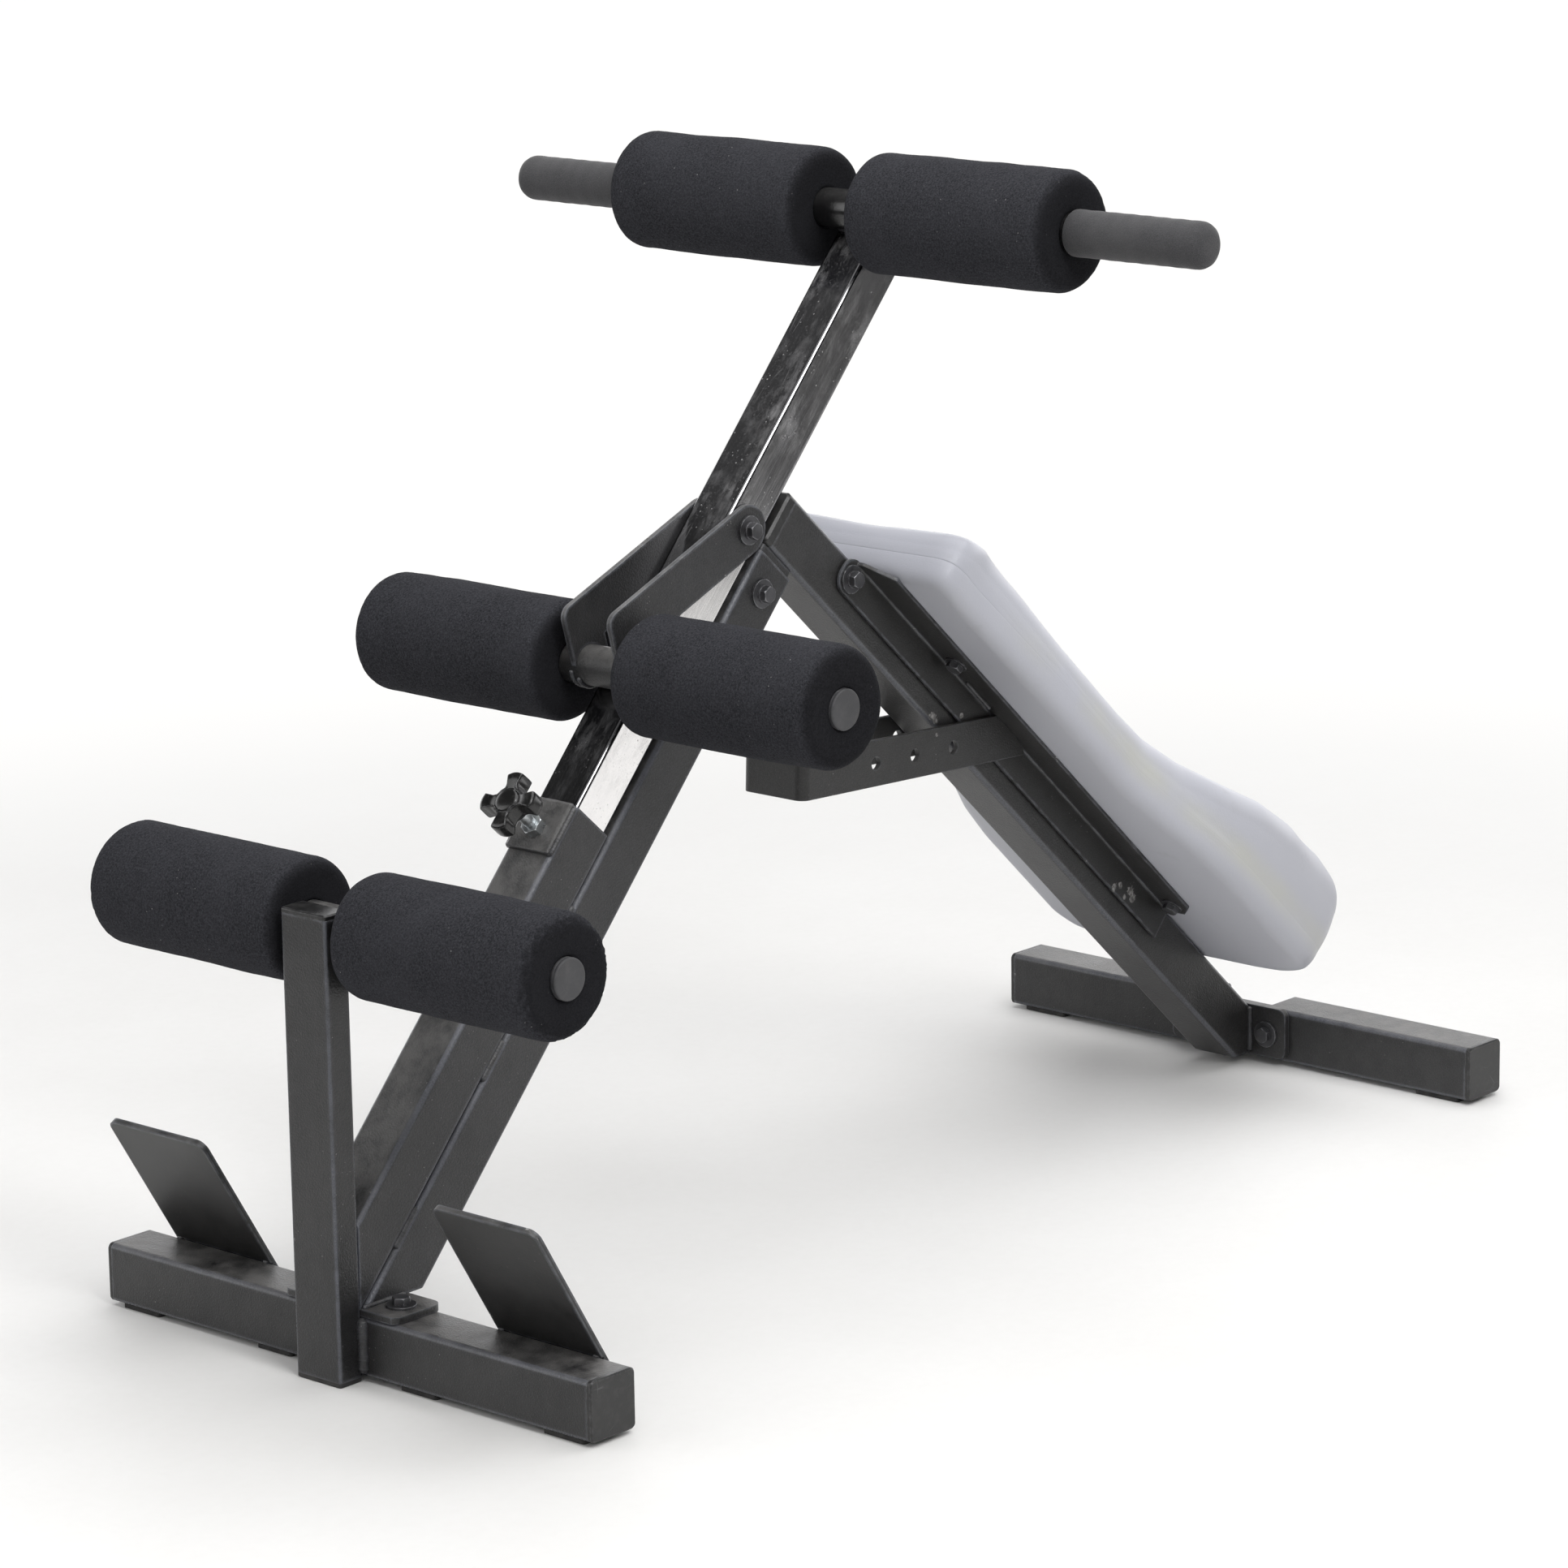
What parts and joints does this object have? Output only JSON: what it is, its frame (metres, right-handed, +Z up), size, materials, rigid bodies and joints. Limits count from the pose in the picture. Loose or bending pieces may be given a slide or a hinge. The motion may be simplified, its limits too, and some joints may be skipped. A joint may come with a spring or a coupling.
{
  "type": "decline sit up bench",
  "caption": "Decline sit-up bench with contoured tilting pad, telescoping mast, swinging ankle rollers, knee rollers, foot plates and floor bars",
  "frame": {"origin": "on the floor under the centre of the overall length and width", "axes": "+X runs from the post and foot plates towards the pad's low end, +Y is the left side looking along +X, +Z is up"},
  "size_m": [1.2509, 0.7574, 0.9096],
  "materials": {
    "frame_paint": "satin black powder coat, fine texture",
    "chrome": "bright chrome, scuffed",
    "zinc": "dull zinc fasteners",
    "black_plastic": "matte moulded plastic",
    "knob_plastic": "glossy moulded plastic",
    "foot_rubber": "matte rubber",
    "foam": "closed-cell foam skin, matte",
    "grip_rubber": "soft rubber sleeve",
    "vinyl": "grey-blue vinyl, low sheen",
    "plywood": "raw plywood"
  },
  "bodies": {
    "frame": {"front_crossbar": "frame_paint", "front_end_caps": "black_plastic", "front_feet": "foot_rubber", "front_post": "frame_paint", "post_top_cap": "black_plastic", "post_foot_cap": "black_plastic", "footplate_left": "frame_paint", "footplate_right": "frame_paint", "low_bar": "frame_paint", "low_bar_caps": "black_plastic", "outer_sleeve": "frame_paint", "strut_tube": "frame_paint", "stitch_welds": "frame_paint", "sleeve_collar": "frame_paint", "collar_nut": "zinc", "front_tab_plate": "frame_paint", "rear_leg": "frame_paint", "leg_top_plug": "black_plastic", "strut_stub": "frame_paint", "rear_tab_plate": "frame_paint", "rear_crossbar": "frame_paint", "rear_end_caps": "black_plastic", "rear_feet": "foot_rubber", "tab_bolts": "zinc", "tab_washers": "zinc", "tab_nuts": "zinc", "strut_bolt": "zinc", "pivot_bolt": "zinc", "frame_washers": "zinc", "frame_spring_washers": "zinc", "frame_nuts": "zinc"},
    "mast": {"mast_tube": "chrome", "mast_top_plug": "black_plastic", "top_bar": "frame_paint", "grip_left": "grip_rubber", "grip_right": "grip_rubber", "ankle_bolt": "zinc", "ankle_washers": "zinc", "ankle_spring_washer": "zinc", "ankle_nut": "zinc"},
    "ankle_bracket": {"ankle_plate_left": "frame_paint", "ankle_plate_right": "frame_paint", "ankle_bar": "frame_paint", "ankle_bar_caps": "black_plastic"},
    "pad_carrier": {"pad_rail_left": "frame_paint", "pad_rail_right": "frame_paint", "u_bracket": "frame_paint", "pad_board": "plywood", "pad_cushion": "vinyl", "pad_bolts": "zinc", "pad_washers": "zinc", "pad_t_nuts": "zinc"},
    "screw": {"clamp_screw": "zinc"},
    "knob": {"clamp_knob": "knob_plastic"},
    "low_roller_left": {"low_foam_left": "foam"},
    "low_roller_right": {"low_foam_right": "foam"},
    "mid_roller_left": {"mid_foam_left": "foam"},
    "mid_roller_right": {"mid_foam_right": "foam"},
    "top_roller_left": {"top_foam_left": "foam"},
    "top_roller_right": {"top_foam_right": "foam"}
  },
  "joints": [
    {"name": "mast_slide", "type": "slide", "parent": "frame", "child": "mast", "axis": [0.6691, 0, 0.7431], "range_m": [-0.085, 0.15]},
    {"name": "ankle_swing", "type": "hinge", "parent": "mast", "child": "ankle_bracket", "pos_m": [-0.12337, 0, 0.61418], "axis": [0, 1, 0], "range_deg": [0, 150]},
    {"name": "pad_tilt", "type": "hinge", "parent": "frame", "child": "pad_carrier", "pos_m": [0.0025, 0, 0.553], "axis": [0, -1, 0], "range_deg": [0, 55]},
    {"name": "screw_out", "type": "slide", "parent": "frame", "child": "screw", "axis": [-0.7431, 0, 0.6691], "range_m": [0, 0.00451]},
    {"name": "knob_turn", "type": "hinge", "parent": "screw", "child": "knob", "pos_m": [-0.38282, 0, 0.4266], "axis": [-0.7431, 0, 0.6691], "range_deg": [0, 1080]},
    {"name": "low_roller_left_spin", "type": "hinge", "parent": "frame", "child": "low_roller_left", "pos_m": [-0.575, 0.14, 0.364], "axis": [0, 1, 0], "continuous": true},
    {"name": "low_roller_right_spin", "type": "hinge", "parent": "frame", "child": "low_roller_right", "pos_m": [-0.575, -0.14, 0.364], "axis": [0, 1, 0], "continuous": true},
    {"name": "mid_roller_left_spin", "type": "hinge", "parent": "ankle_bracket", "child": "mid_roller_left", "pos_m": [-0.26269, 0.14, 0.51787], "axis": [0, 1, 0], "continuous": true},
    {"name": "mid_roller_right_spin", "type": "hinge", "parent": "ankle_bracket", "child": "mid_roller_right", "pos_m": [-0.26269, -0.14, 0.51787], "axis": [0, 1, 0], "continuous": true},
    {"name": "top_roller_left_spin", "type": "hinge", "parent": "mast", "child": "top_roller_left", "pos_m": [0.04471, 0.14, 0.85913], "axis": [0, 1, 0], "continuous": true},
    {"name": "top_roller_right_spin", "type": "hinge", "parent": "mast", "child": "top_roller_right", "pos_m": [0.04471, -0.14, 0.85913], "axis": [0, 1, 0], "continuous": true}
  ],
  "couplings": [
    {"joint": "screw_out", "follows": "knob_turn", "m_per_rad": 0.00023873}
  ]
}
